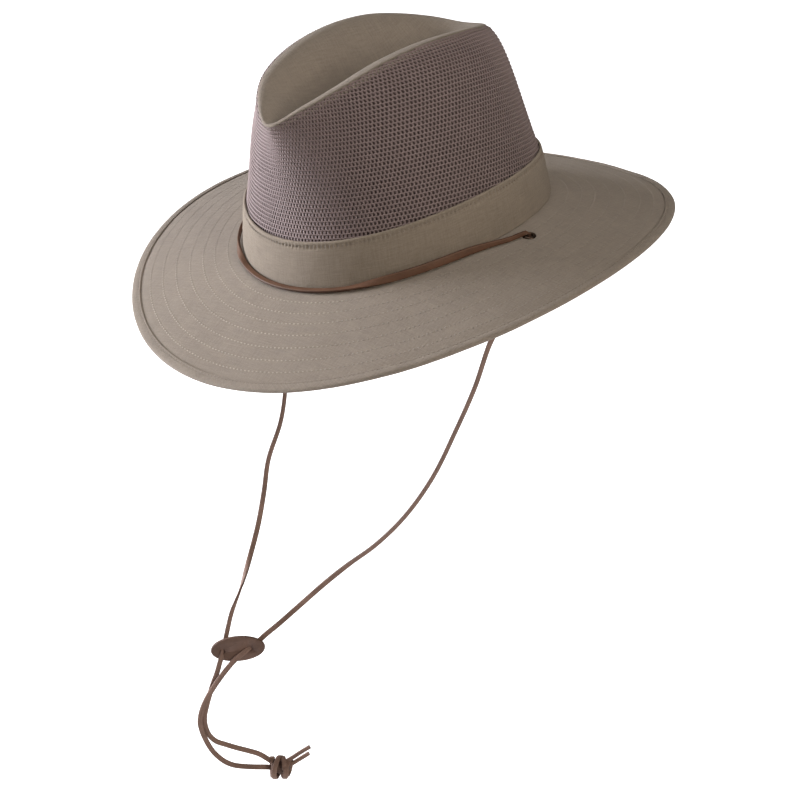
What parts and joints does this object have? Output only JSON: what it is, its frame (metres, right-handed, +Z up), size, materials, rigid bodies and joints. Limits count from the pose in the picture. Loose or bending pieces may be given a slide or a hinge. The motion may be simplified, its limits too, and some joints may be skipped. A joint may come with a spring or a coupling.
{
  "type": "bush hat",
  "caption": "Wide-brimmed cloth sun hat with a dented crown, a see-through mesh crown wall and a leather chin lace with a slide and end knot.",
  "frame": {"origin": "centre of the head opening, level with the foot of the crown", "axes": "+Z up through the crown, -Y to the front of the hat, +X to the wearer's left"},
  "size_m": [0.3208, 0.3554, 0.5189],
  "materials": {
    "canvas": "matte washed cotton canvas",
    "band_canvas": "matte washed cotton canvas",
    "mesh": "open polyester net with a slight sheen",
    "lace_leather": "waxed flat lace",
    "slide_leather": "dark waxed leather",
    "dark_metal": "dark bronze"
  },
  "bodies": {
    "root": {"brim": "canvas", "brim_binding": "canvas", "crown_band": "band_canvas", "crown_mesh": "mesh", "crown_tip": "canvas", "eyelet_left": "dark_metal", "eyelet_right": "dark_metal", "lace_front": "lace_leather", "lace_left": "lace_leather", "lace_right": "lace_leather", "slide": "slide_leather", "knot": "lace_leather", "lace_tail_upper": "lace_leather", "lace_tail_lower": "lace_leather"}
  },
  "joints": []
}
